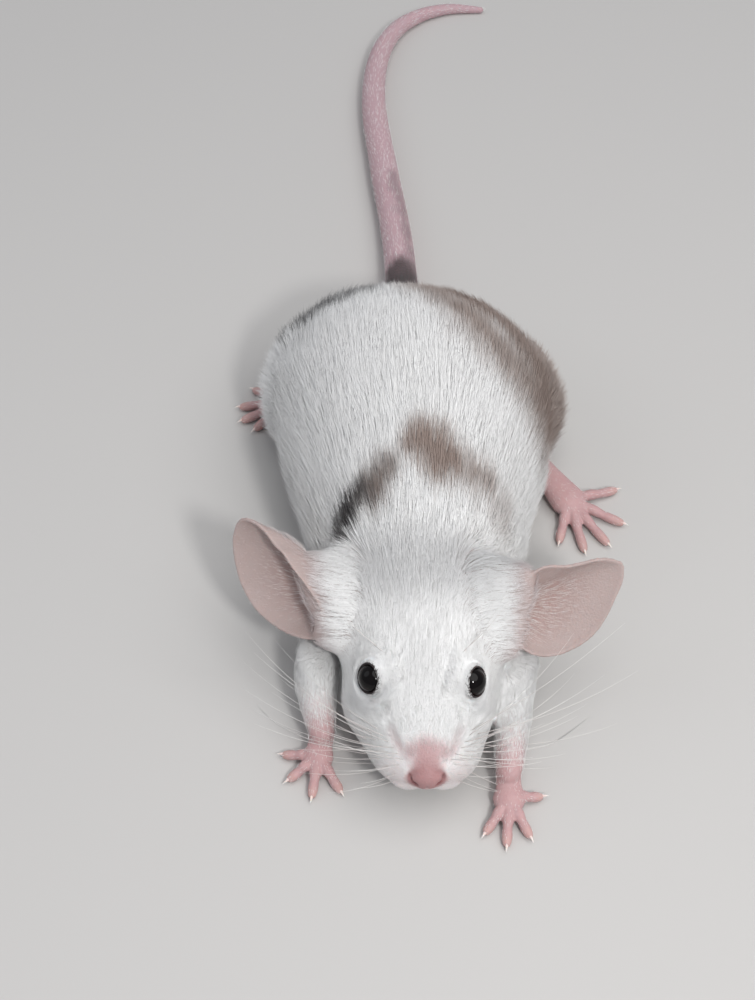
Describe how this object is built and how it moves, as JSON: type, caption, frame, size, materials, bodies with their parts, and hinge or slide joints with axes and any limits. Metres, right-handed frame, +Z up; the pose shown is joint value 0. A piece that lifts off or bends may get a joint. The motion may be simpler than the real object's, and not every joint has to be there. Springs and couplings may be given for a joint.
{
  "type": "pet mouse lying on its belly with its tail laid out",
  "caption": "Life-size white pet mouse with grey-brown patches, crouching low on its belly, forepaws stretched forward, ears spread and tail curving out behind.",
  "frame": {"origin": "on the flat of the belly, under the back of the chest, at the level of the surface that the mouse rests on", "axes": "+Z up out of the mouse's back; +Y from the nose towards the tail, so the mouse looks along -Y; +X towards the mouse's own left side"},
  "size_m": [0.0519, 0.1569, 0.0254],
  "materials": {
    "fur": "short soft fur, white with charcoal and grey-brown patches",
    "foot": "bare pink skin with fine folds, pale claws",
    "tail": "pinkish lilac skin with fine scale rings and sparse hairs",
    "nose": "bare pink, slightly moist",
    "ear": "thin, nearly bare, pale greyish pink",
    "eye": "glossy black"
  },
  "bodies": {
    "root": {"head": "fur", "neck": "fur", "trunk": "fur", "nose": "nose", "ear_left": "ear", "ear_right": "ear", "eye_left": "eye", "eye_right": "eye", "foreleg_left": "fur", "foreleg_right": "fur", "forepaw_left": "foot", "forepaw_right": "foot", "hindleg_left": "fur", "hindleg_right": "fur", "hindfoot_left": "foot", "hindfoot_right": "foot", "tail_base": "tail", "tail_middle": "tail", "tail_tip": "tail"}
  },
  "joints": []
}
